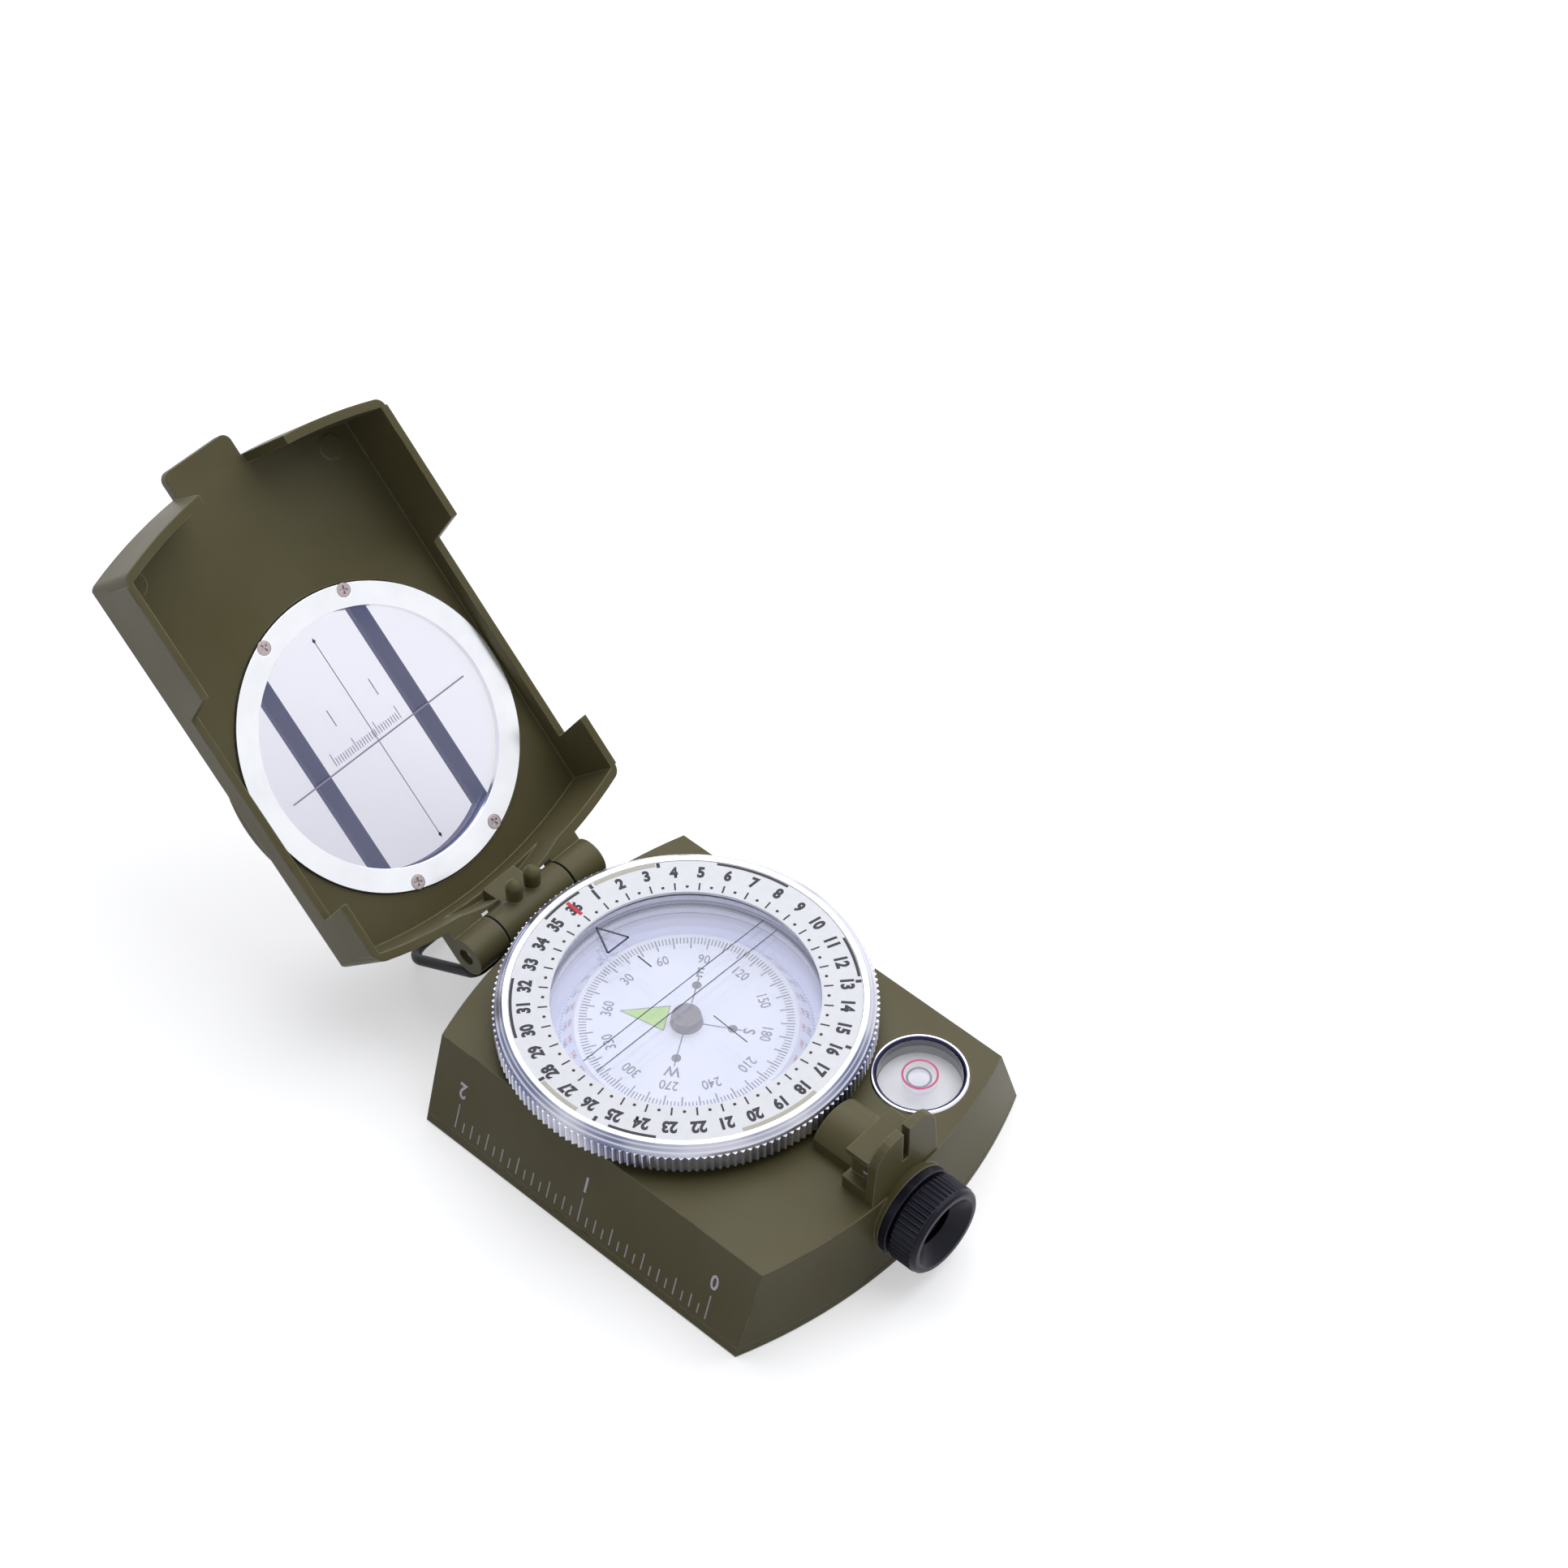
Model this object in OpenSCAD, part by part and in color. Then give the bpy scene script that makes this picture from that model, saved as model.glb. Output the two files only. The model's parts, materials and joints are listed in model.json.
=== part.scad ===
// Lensatic compass with a folding lid, a turning bezel, a floating card,
// a round level and a focusing eyepiece.
// The origin is the mouth of the tripod thread in the middle of the foot.
// +Y runs from the eyepiece to the hinge, +X to the right of the user, +Z up.

/* [Base] */
// Half width of the base at its foot
base_foot_half = 31.4; // [30.5:0.1:33]
// Half width of the base at its top
base_top_half = 26.2; // [25.6:0.1:27]
// Half length of the base along its middle line, at its top
base_half_len = 36.4; // [36:0.1:38]
// Height of the base
base_h = 15.3; // [15:0.1:16.5]
// Radius of the curved ends of the base and the lid
end_r = 81; // [70:1:110]
// Thickness of the cast walls
wall = 2; // [1.6:0.1:2.2]

/* [Dial] */
// Distance of the dial's centre towards the hinge
dial_y = 7; // [6.5:0.1:7.5]
// Outer radius of the knurled bezel
bezel_r = 28.7; // [28:0.1:29]
// Number of teeth in the bezel's knurl
bezel_teeth = 160; // [120:4:200]
// Radius of the flat top of the card
card_r = 16.5; // [14:0.1:17]

/* [Lid] */
// Angle at which the lid stands open
lid_open = 134.3; // [110:0.1:145]
// Length of the lid from the hinge axis to the middle of its tip
lid_len = 80.1; // [79:0.1:82]
// Inner height of the lid above the base when it is closed
lid_depth = 11.4; // [11.2:0.1:12.5]
// Radius of the window in the lid
window_r = 20.3; // [18:0.1:20.6]

/* [Eyepiece] */
// Height of the eyepiece axis above the foot
eye_z = 9.2; // [9:0.1:9.6]
// Radius of the knurled focusing ring
eye_r = 7.25; // [7:0.05:7.4]
// Number of flutes in the focusing ring
eye_flutes = 48; // [40:2:80]

/* [Lanyard loop] */
// Angle by which the loop droops below the level
loop_droop = 30; // [28:0.5:31]
// Reach of the loop from its pivot
loop_len = 18.4; // [16:0.1:18.6]

/* [Hidden] */
$fn = 96;
eps = 0.01;
big = 200;

// Colours
olive = [0.36, 0.35, 0.28];
silver = [0.80, 0.80, 0.84];
steel = [0.62, 0.63, 0.65];
brass = [0.72, 0.58, 0.30];
black = [0.08, 0.08, 0.09];
white = [0.93, 0.93, 0.95];
pale = [0.86, 0.86, 0.95];
clear = [0.80, 0.82, 0.95, 0.35];

// Base
end_lean = 1.3;
cover_t = 1.2;
seam_h = 0.15;
seam_depth = 0.3;
cover_screw_x = 24.5;
cover_screw_y = 27.5;
post_r = 3;
screw_r = 1.05;
thread_bite = 0.08;
bush_r = 4.6;
bush_h = 5.4;
tripod_r = 3.175;
tripod_depth = 5;
bush_boss_r = 7;

// Capsule and bezel
well_r = 22.1;
well_floor = 6.5;
collar_r = 25;
collar_top = 18.7;
cup_wall = 1.4;
cup_r = well_r - 0.1;
cup_bottom = well_floor;
cup_top = 18.6;
cup_floor_t = 1.2;
ledge_r = cup_r - 0.7;
ledge_z = 16.4;
seal_h = 0.5;
glass_t = 1;
card_z = 15;
card_t = 0.5;
flange_r = 19.4;
flange_drop = 3.4;
hub_r = 2.5;
hub_top = 16.6;
jewel_z = 14.4;
bezel_bottom = 16.7;
knurl_top = 19.7;
bezel_top = 21.2;
bezel_bore = collar_r + 0.06;
snap_z = 17.8;
snap_t = 0.4;
snap_out = collar_r + 0.45;
snap_in = collar_r - 0.5;
dial_glass_z = 19.5;
dial_glass_r = 26.5;
azimuth_in = 20.1;
azimuth_out = 26.2;
azimuth_t = 0.5;
tooth_h = 0.45;

// Level
level_x = 15.6;
level_y = -25.3;
level_r = 7.35;
level_top = 15.6;
level_floor = 10.8;
level_bore = 6.45;
level_disc_z = 12.2;
level_glass_z = 14.6;

// Eyepiece
bore_r = 5;
flange_back = -37.2;
flange_front = -38.6;
ring_back = -39.2;
ring_front = -43.9;
tube_front = -40.4;
tube_back = -30;
cell_r = 4.2;
cell_front = -40.5;
cell_back = -35.5;

// Sight bracket
bracket_top = 24;
plate_front = -35.9;
plate_back = -34.4;
block_back = -30.2;
block_right = 3.3;
bracket_half = 6.9;
bracket_foot_top = 17.6;
bracket_screw_r = 0.8;
bracket_screw_z = 14.2;
ear_top = 26.5;
slot_w = 1.3;
slot_floor = 20;
housing_half = 4.7;
housing_r = 5.4;
housing_z = 14.6;
housing_back = -22.4;

// Hinge
hinge_y = 39.7;
hinge_z = 15.4;
knuckle_r = 3.2;
pin_r = 1.4;
middle_half = 7;
outer_end = 13.5;
washer_t = 0.3;
washer_gap = 0.06;
bead_x = 1.9;
bead_y = 1;
bead_r = 1.35;
bead_h = 5.3;

// Lid, drawn closed with its origin on the hinge axis
lid_half = 26.1;
lid_top_half = 25.5;
lid_side_wall = 1.15;
lid_end_wall = 1.5;
lid_floor_t = 1.8;
lid_rim = 0.2;
lid_corner = 1.8;
lid_boss = [20, -73];
lid_back = -3.4;
bezel_room = bezel_top - hinge_z + 0.4;
bead_sweep = norm([bead_y, bead_h]) + bead_r + 0.35;
low_rim = 8.4;
step_tip = [-54.8, -52.3];
step_hinge = [-18, -16];
tab_half = 6.4;
tab_end = -84;
gap_half = [6.6, 8.4];
window_y = dial_y - hinge_y;
boss_r = 25;
boss_top = 16;
ring_out = 24;
ring_t = 1.1;
ring_proud = 0.5;
glass_r = 22;
window_glass_t = 0.8;
seat_r = 21.3;
seat_z = lid_depth + ring_t - ring_proud + window_glass_t + 0.3;
guard_r = 22.7;
bar_x = 10.4;
bar_w = 2.6;
bar_t = 1.5;
ring_screw_r = 23;
ring_screw_turn = 21;

// Lanyard loop
loop_y = 39.6;
loop_z = 10.2;
loop_half = 12;
wire_r = 0.85;
loop_corner = 4;
lug_r = 2.3;

// Shared forms

// A cast block with leaning sides and curved, leaning ends.
// front and back are the y of the two ends at the top, on the middle line.
module cast_form(foot_half, top_half, front, back, lean, h) {
    intersection() {
        rotate([90, 0, 0])
            linear_extrude(height = big, center = true)
                polygon([[-foot_half, 0], [foot_half, 0], [top_half, h], [-top_half, h]]);
        translate([0, front + end_r, 0])
            cylinder(r1 = end_r + lean, r2 = end_r, h = h, $fn = 360);
        translate([0, back - end_r, 0])
            cylinder(r1 = end_r + lean, r2 = end_r, h = h, $fn = 360);
    }
}

// A box from its lowest to its highest corner
module block(low, high) {
    translate(low) cube([high[0] - low[0], high[1] - low[1], high[2] - low[2]]);
}

// A flat ring standing on z
module ring(outer, inner, z, h) {
    translate([0, 0, z])
        difference() {
            cylinder(r = outer, h = h);
            translate([0, 0, -eps]) cylinder(r = inner, h = h + 2 * eps);
        }
}

// A round bar along X from x0 to x1
module bar_x(r, x0, x1) {
    translate([x0, 0, 0]) rotate([0, 90, 0]) cylinder(r = r, h = x1 - x0);
}

// A round bar along the eyepiece axis from y0 back towards y1
module bar_eye(r, y0, y1) {
    translate([0, y1, eye_z]) rotate([90, 0, 0]) cylinder(r = r, h = y1 - y0);
}

// A profile of [radius, y] points turned about the eyepiece axis
module turn_eye(profile) {
    translate([0, 0, eye_z])
        rotate([90, 0, 0])
            rotate_extrude()
                polygon([for (p = profile) [p[0], -p[1]]]);
}

// Teeth round a wheel: a straight-sided tooth every pitch
function tooth_points(teeth, root, tip) = [
    for (i = [0 : teeth - 1], side = [0, 1])
        let (r = side == 0 ? root : tip, a = 360 * (i + side / 2) / teeth)
            [r * cos(a), r * sin(a)]
];

// A countersunk screw with its head up at z = 0 and a cross recess
module flat_screw(head_r, shank_r, length) {
    head_h = head_r - shank_r;
    difference() {
        union() {
            translate([0, 0, -head_h]) cylinder(r1 = shank_r, r2 = head_r, h = head_h);
            translate([0, 0, -length]) cylinder(r = shank_r, h = length);
        }
        for (turn = [0, 90])
            rotate([0, 0, turn])
                translate([-head_r * 0.6, -0.15, -head_h * 0.6]) cube([head_r * 1.2, 0.3, head_h]);
    }
}

module at_dial() {
    translate([0, dial_y, 0]) children();
}

module at_cover_screws() {
    for (sx = [-1, 1], sy = [-1, 1])
        translate([sx * cover_screw_x, sy * cover_screw_y, 0]) children();
}

// Under the heads of the two screws that hold the sight bracket from below
module at_bracket_screws() {
    for (side = [-1, 1])
        translate([side * 4.5, -32.8, bracket_screw_z]) children();
}

module at_level() {
    translate([level_x, level_y, 0]) children();
}

// Puts a piece drawn on the closed lid where the open lid carries it
module on_lid() {
    translate([0, hinge_y, hinge_z]) rotate([-lid_open, 0, 0]) children();
}

module at_window() {
    translate([0, window_y, 0]) children();
}

module at_ring_screws() {
    at_window()
        for (turn = [-ring_screw_turn, ring_screw_turn, 180 - ring_screw_turn, 180 + ring_screw_turn])
            rotate([0, 0, turn]) translate([0, ring_screw_r, lid_depth - ring_proud]) children();
}

// Puts a piece drawn level, with its pivot at the origin, where the loop hangs
module at_loop() {
    translate([0, loop_y, loop_z]) rotate([-loop_droop, 0, 0]) children();
}

// Base

// The leaning block of the base, with every face moved in by inset
module foot_form(inset) {
    cast_form(base_foot_half - inset, base_top_half - inset, -base_half_len + inset, base_half_len - inset,
        end_lean, base_h);
}

// What stays solid inside the hollow foot
module base_core() {
    at_dial() cylinder(r = well_r + 1.6, h = base_h);
    at_level() cylinder(r = level_r + 1.4, h = base_h);
    cylinder(r = bush_boss_r, h = base_h);
    at_cover_screws() cylinder(r = post_r, h = base_h);
    block([-8, -base_half_len, 0], [8, dial_y - well_r, base_h]);
}

// The middle hinge knuckle with its sighting beads, and the lug for the loop
module hinge_lug() {
    translate([0, hinge_y, hinge_z]) {
        bar_x(knuckle_r, -middle_half, middle_half);
        for (side = [-1, 1])
            translate([side * bead_x, bead_y, 0]) {
                cylinder(r = bead_r, h = bead_h);
                translate([0, 0, bead_h]) sphere(r = bead_r);
            }
    }
    // Web behind the beads, inside the circle that the lid leaves free
    translate([0, hinge_y, hinge_z])
        intersection() {
            bar_x(bead_sweep - 0.3, -bead_x - bead_r, bead_x + bead_r);
            block([-big, 0, -4], [big, big, 1.5]);
        }
    translate([0, loop_y, loop_z]) bar_x(lug_r, -middle_half, middle_half);
    block([-middle_half, base_half_len - 2, loop_z - lug_r], [middle_half, loop_y, hinge_z]);
}

module base_shell() {
    color(olive)
    difference() {
        union() {
            foot_form(0);
            at_dial() cylinder(r = collar_r, h = collar_top);
            hinge_lug();
            bar_eye(eye_r + 0.15, flange_back, -base_half_len + 3);
        }
        // Hollow of the foot
        difference() {
            translate([0, 0, cover_t - eps])
                cast_form(base_foot_half - wall - 0.4, base_top_half - wall + 0.3,
                    -base_half_len + wall, base_half_len - wall, 0.9, base_h - wall - cover_t);
            base_core();
        }
        // Seat of the bottom cover, and the seam that shows all round above it
        block([-big, -big, -1], [big, big, cover_t]);
        difference() {
            block([-big, -big, cover_t - eps], [big, big, cover_t + seam_h]);
            foot_form(seam_depth);
        }
        // Wells of the capsule and the level
        at_dial() translate([0, 0, well_floor]) cylinder(r = well_r, h = big);
        at_level() translate([0, 0, level_floor]) cylinder(r = level_r, h = big);
        // Groove for the ring that keeps the bezel on
        at_dial() ring(collar_r + 1, collar_r - 0.7, snap_z - 0.1, snap_t + 0.2);
        // Flat face for the flange of the eyepiece tube
        bar_eye(eye_r + 0.35, -big / 2, flange_back);
        // Bores of the eyepiece, the hinge, the loop, the bush and the screws
        bar_eye(bore_r, -big / 2, tube_back);
        bar_eye(3.4, -big / 2, dial_y - well_r + 2);
        translate([0, hinge_y, hinge_z]) bar_x(pin_r + 0.04, -big / 2, big / 2);
        translate([0, loop_y, loop_z]) bar_x(wire_r + 0.05, -big / 2, big / 2);
        translate([0, 0, -eps]) cylinder(r = bush_r, h = bush_h + 2 * eps);
        at_cover_screws() cylinder(r = screw_r - thread_bite, h = 9);
        at_bracket_screws() {
            cylinder(r = bracket_screw_r + 0.1, h = big);
            translate([0, 0, -base_h]) cylinder(r = 1.6, h = base_h);
        }
    }
}

module bottom_cover() {
    color(olive)
    difference() {
        foot_form(0);
        block([-big, -big, cover_t], [big, big, big]);
        cylinder(r = bush_r + 0.1, h = big, center = true);
        at_cover_screws() {
            translate([0, 0, -eps]) cylinder(r1 = 2.25, r2 = 1.15, h = 1.1 + eps);
            cylinder(r = 1.15, h = big, center = true);
        }
    }
}

module cover_screws() {
    color(steel) at_cover_screws() translate([0, 0, 0.1]) rotate([180, 0, 0]) flat_screw(2.1, screw_r, 7);
}

module tripod_bush() {
    color(brass)
    difference() {
        cylinder(r = bush_r, h = bush_h);
        translate([0, 0, -eps]) cylinder(r = tripod_r, h = tripod_depth + eps);
    }
}

// Half outline of an ear: a straight side, a rounded shoulder and a flat top to the slot
function ear_points() = let (shoulder = 4) concat(
    [[slot_w / 2, base_h], [bracket_half + 0.2, base_h]],
    [for (a = [0 : 15 : 90])
        [bracket_half - 0.4 - shoulder * (1 - cos(a)), ear_top - shoulder * (1 - sin(a))]],
    [[slot_w / 2, ear_top]]
);

// The eyepiece housing on the base: a half-round tunnel, a block and a slotted sighting plate
module sight_bracket() {
    color(olive)
    difference() {
        union() {
            // Tunnel with upright sides and a rounded roof
            intersection() {
                translate([0, housing_back, housing_z])
                    rotate([90, 0, 0]) cylinder(r = housing_r, h = housing_back - block_back + 1);
                block([-housing_half, -big, base_h], [housing_half, big, big]);
            }
            block([-bracket_half + 1.7, plate_back - eps, base_h], [block_right, block_back, bracket_top]);
            block([-bracket_half, plate_back - eps, base_h], [bracket_half, block_back + 0.3, bracket_foot_top]);
            // Lip over the deep recess in the block's left side
            block([-bracket_half + 0.4, plate_back - eps, bracket_top - 1], [0, block_back, bracket_top]);
            translate([0, plate_back, 0])
                rotate([90, 0, 0])
                    linear_extrude(height = plate_back - plate_front) {
                        polygon(ear_points());
                        mirror([1, 0]) polygon(ear_points());
                        translate([-slot_w, base_h]) square([2 * slot_w, slot_floor - base_h]);
                    }
        }
        at_bracket_screws() cylinder(r = bracket_screw_r - thread_bite, h = 5.2);
        bar_eye(eye_r + 0.2, flange_back - 1, -base_half_len + 3.05);
        at_dial() cylinder(r = bezel_r + 0.35, h = big);
    }
}

module bracket_screws() {
    color(steel) at_bracket_screws() {
        cylinder(r = bracket_screw_r, h = 5);
        difference() {
            translate([0, 0, -1]) cylinder(r = 1.4, h = 1);
            translate([0, 0, -1]) cube([4, 0.4, 0.8], center = true);
        }
    }
}

// Capsule

module capsule_cup() {
    color(white) at_dial()
    difference() {
        translate([0, 0, cup_bottom]) cylinder(r = cup_r, h = cup_top - cup_bottom);
        translate([0, 0, cup_bottom + cup_floor_t]) cylinder(r = cup_r - cup_wall, h = big);
        translate([0, 0, ledge_z]) cylinder(r = ledge_r, h = big);
        translate([0, 0, cup_bottom - eps]) cylinder(r = 0.9, h = 2);
        translate([-4, -big, 7.9]) cube([8, big - cup_r + 4, 4.6]);
    }
}

module capsule_seal() {
    color(pale) at_dial()
        translate([0, 0, ledge_z + seal_h / 2])
            rotate_extrude() translate([ledge_r - 0.3, 0]) circle(r = seal_h / 2, $fn = 24);
}

module capsule_glass() {
    color(clear) at_dial() translate([0, 0, ledge_z + seal_h]) cylinder(r = ledge_r - 0.05, h = glass_t);
}

module capsule_window() {
    color(clear) at_dial()
    intersection() {
        ring(cup_r - 0.1, cup_r - 1.1, 7.9, 4.6);
        block([-4, -big, 0], [4, 0, big]);
    }
}

module pivot_post() {
    color(steel) at_dial() {
        translate([0, 0, cup_bottom + 0.1]) cylinder(r = 0.9, h = 5);
        translate([0, 0, cup_bottom + 5.1 - eps]) cylinder(r = 0.55, h = 1.7);
        translate([0, 0, cup_bottom + 6.8 - 2 * eps]) cylinder(r1 = 0.55, r2 = 0.06, h = jewel_z - cup_bottom - 6.8);
    }
}

module dial_card() {
    inner = 1.6;
    color(pale) at_dial()
        rotate_extrude()
            polygon([
                [inner, card_z - card_t], [card_r, card_z - card_t],
                [flange_r - 0.35, card_z - flange_drop], [flange_r, card_z - flange_drop],
                [card_r + 0.25, card_z], [inner, card_z]
            ]);
}

module card_magnet() {
    color(steel) at_dial()
        translate([0, 0, card_z - card_t - 1.6])
            rotate([0, 0, 30.5])
                difference() {
                    block([-2.2, -12, 0], [2.2, 12, 1.6]);
                    translate([0, 0, -eps]) cylinder(r = 1.65, h = 2);
                }
}

module card_hub() {
    color([0.45, 0.44, 0.55]) at_dial() {
        translate([0, 0, card_z]) cylinder(r1 = hub_r, r2 = hub_r - 0.3, h = hub_top - card_z);
        difference() {
            translate([0, 0, card_z - 2]) cylinder(r = 1.6, h = 2 + eps);
            translate([0, 0, card_z - 3]) cylinder(r = 1, h = 3);
        }
    }
}

module jewel_bearing() {
    color("firebrick") at_dial()
    difference() {
        translate([0, 0, card_z - 1]) cylinder(r = 1, h = 1);
        translate([0, 0, card_z - 1 - eps]) cylinder(r1 = 0.7, r2 = 0.1, h = 0.7);
    }
}

// Bezel

module bezel_ring() {
    color(silver) at_dial() {
        difference() {
            translate([0, 0, bezel_bottom])
                linear_extrude(height = knurl_top - bezel_bottom)
                    polygon(tooth_points(bezel_teeth, bezel_r - tooth_h, bezel_r));
            translate([0, 0, bezel_bottom - eps]) cylinder(r = bezel_r - 1.5, h = big);
        }
        rotate_extrude($fn = 180)
            polygon([
                [bezel_bore, bezel_bottom], [bezel_r - 1, bezel_bottom], [bezel_r - 1, knurl_top - 0.2],
                [bezel_r - 0.35, knurl_top], [bezel_r - 0.5, knurl_top + 0.5],
                [dial_glass_r + 0.6, bezel_top], [dial_glass_r - 0.25, bezel_top - 0.1],
                [dial_glass_r - 0.25, bezel_top - 0.5], [dial_glass_r, bezel_top - 0.7],
                [dial_glass_r, dial_glass_z], [azimuth_in + 0.5, dial_glass_z],
                [azimuth_in + 0.5, collar_top + 0.3], [bezel_bore, collar_top + 0.3],
                [bezel_bore, snap_z + snap_t + 0.15], [snap_out + 0.15, snap_z + snap_t + 0.15],
                [snap_out + 0.15, snap_z - 0.15], [bezel_bore, snap_z - 0.15]
            ]);
    }
}

module azimuth_ring() {
    color(white) at_dial() ring(azimuth_out, azimuth_in, dial_glass_z + glass_t, azimuth_t);
}

module bezel_glass() {
    color(clear) at_dial() translate([0, 0, dial_glass_z]) cylinder(r = dial_glass_r - 0.1, h = glass_t);
}

module bezel_snap_ring() {
    color(steel) at_dial()
    difference() {
        ring(snap_out, snap_in, snap_z, snap_t);
        block([-1, 0, 0], [1, big, big]);
    }
}

// The felt that gives the bezel its drag
module bezel_friction_ring() {
    color(black) at_dial() ring(collar_r + 1.6, collar_r + 0.1, base_h, bezel_bottom - base_h - 0.1);
}

// Level

module level_housing() {
    color(silver) at_level()
    difference() {
        union() {
            translate([0, 0, level_floor]) cylinder(r = level_r - 0.03, h = base_h - level_floor);
            translate([0, 0, base_h]) cylinder(r1 = level_r + 0.1, r2 = level_r - 0.15, h = level_top - base_h);
        }
        translate([0, 0, level_floor + 0.6]) cylinder(r = level_bore, h = big);
        translate([0, 0, level_top - 0.3]) cylinder(r1 = level_bore, r2 = level_bore + 0.3, h = 0.3 + eps);
    }
}

module level_disc() {
    color(white) at_level() translate([0, 0, level_floor + 0.6])
        cylinder(r = level_bore - 0.05, h = level_disc_z - level_floor - 0.6);
}

module level_glass() {
    color(clear) at_level() translate([0, 0, level_glass_z]) cylinder(r = level_bore - 0.05, h = 0.7);
}

// Eyepiece

module eyepiece_tube() {
    color(black)
    difference() {
        turn_eye([
            [cell_r + 0.04, tube_back], [bore_r - 0.03, tube_back], [bore_r - 0.03, flange_back],
            [eye_r + 0.1, flange_back], [eye_r + 0.1, flange_front], [bore_r + 0.9, flange_front],
            [bore_r + 0.9, ring_back - 0.2], [bore_r + 0.2, ring_back - 0.2], [bore_r + 0.2, tube_front],
            [cell_r + 0.04, tube_front]
        ]);
        // Slot that keeps the lens cell from turning
        translate([-0.5, tube_front - 1, eye_z + cell_r - 0.7]) cube([1, 2.9, 2]);
    }
}

module focus_ring() {
    color(black)
    difference() {
        union() {
            translate([0, ring_back, eye_z])
                rotate([90, 0, 0])
                    linear_extrude(height = ring_back - ring_front - 0.9)
                        polygon(tooth_points(eye_flutes, eye_r - 0.45, eye_r));
            turn_eye([
                [0, ring_back - 1], [eye_r - 0.6, ring_back - 1], [eye_r - 0.6, ring_front + 0.9],
                [eye_r - 0.1, ring_front + 0.9], [eye_r - 0.2, ring_front + 0.35], [eye_r - 0.6, ring_front],
                [0, ring_front]
            ]);
        }
        turn_eye([
            [0, ring_back + 1], [bore_r + 0.96, ring_back + 1], [bore_r + 0.96, ring_back - 0.26],
            [bore_r + 0.26, ring_back - 0.26], [bore_r + 0.26, cell_front - 0.85], [0, cell_front - 0.85]
        ]);
        turn_eye([
            [0, cell_front], [3.5, cell_front], [3.5, cell_front - 1], [5.9, ring_front - eps],
            [5.9, ring_front - 1], [0, ring_front - 1]
        ]);
    }
}

module focus_pin() {
    color(steel) translate([0, tube_front + 0.6, eye_z + cell_r - 0.45]) cylinder(r = 0.4, h = 1.25);
}

module lens_cell() {
    color(steel)
    difference() {
        turn_eye([
            [3.2, cell_back], [cell_r, cell_back], [cell_r, cell_front], [3.7, cell_front],
            [3.7, cell_front + 2.2], [3.2, cell_front + 2.2]
        ]);
        translate([0, tube_front + 0.6, eye_z + cell_r - 0.9]) cylinder(r = 0.4 - 0.02, h = 3);
    }
}

// A lens with a bulged front
module eye_lens() {
    bulge_r = 7;
    color(clear)
    intersection() {
        bar_eye(3.66, cell_front, cell_front + 2.2);
        translate([0, cell_front + 0.1 + bulge_r, eye_z]) sphere(r = bulge_r);
    }
}

module lens_retainer() {
    color(black) turn_eye([
        [3.2, cell_front + 0.05], [3.67, cell_front + 0.05], [3.67, cell_front + 0.9], [3.4, cell_front + 0.9]
    ]);
}

// Lid, drawn closed

// Block of the lid with its sides moved in by side and its ends by end
module lid_block(side, end, low, high) {
    translate([0, 0, low])
        cast_form(lid_half - side, lid_top_half - side, -lid_len + end, lid_back - end, 0, high - low);
}

// What a rounded corner takes off the lid: its circle meets the side and the curved end
module corner_waste(side, at_tip) {
    end = at_tip ? -1 : 1;
    end_y = at_tip ? -lid_len : lid_back;
    middle = [0, end_y - end * end_r];
    centre = [lid_half - 0.3 - lid_corner,
        middle[1] + end * sqrt(pow(end_r - lid_corner, 2) - pow(lid_half - 0.3 - lid_corner, 2))];
    out = (centre - middle) / norm(centre - middle);
    far = 3 * lid_corner;
    scale([side, 1, 1])
        translate([0, 0, -1])
            linear_extrude(height = 30)
                difference() {
                    polygon([centre, centre + far * out, centre + [far, end * far], centre + [far, 0]]);
                    translate(centre) circle(r = lid_corner);
                }
}

// The low stretch of the side walls, beside the bezel
module side_gap(sx) {
    translate([sx * lid_half, 0, 0])
        rotate([90, 0, 90])
            linear_extrude(height = 6, center = true)
                polygon([
                    [step_tip[0], -1], [step_tip[0], lid_rim], [step_tip[1], low_rim],
                    [step_hinge[1], low_rim], [step_hinge[0], lid_rim], [step_hinge[0], -1]
                ]);
}

// The gap in the tip wall for the thumb tab, wider at the rim than at the floor
module tip_gap() {
    translate([0, -lid_len + 8, 0])
        rotate([90, 0, 0])
            linear_extrude(height = 20)
                polygon([
                    [-gap_half[1], lid_rim - 1], [gap_half[1], lid_rim - 1], [gap_half[1], lid_rim],
                    [gap_half[0], lid_depth], [-gap_half[0], lid_depth], [-gap_half[1], lid_rim]
                ]);
}

// The guard at the back of the window: two bars with outer feet, and arcs between them
module window_guard() {
    foot = 1.1;
    y = sqrt(pow(guard_r, 2) - pow(bar_x + bar_w / 2, 2));
    translate([0, 0, boss_top - bar_t])
        linear_extrude(height = bar_t)
            intersection() {
                circle(r = guard_r + 0.5);
                union() {
                    difference() {
                        square([2 * bar_x, 2 * big], center = true);
                        circle(r = window_r);
                    }
                    for (sx = [-1, 1])
                        translate([sx * bar_x, 0]) square([bar_w, 2 * big], center = true);
                    for (sx = [-1, 1], sy = [-1, 1])
                        scale([sx, sy])
                            translate([bar_x + bar_w / 2 - eps, y - foot]) square([foot, 2 * foot]);
                }
            }
}

// An outer hinge knuckle with the web that joins it to the end wall
module lid_knuckle() {
    x0 = middle_half + washer_t + 2 * washer_gap;
    bar_x(knuckle_r, x0, outer_end);
    block([x0, lid_back - 2, lid_rim], [outer_end, 0, knuckle_r]);
}

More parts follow.
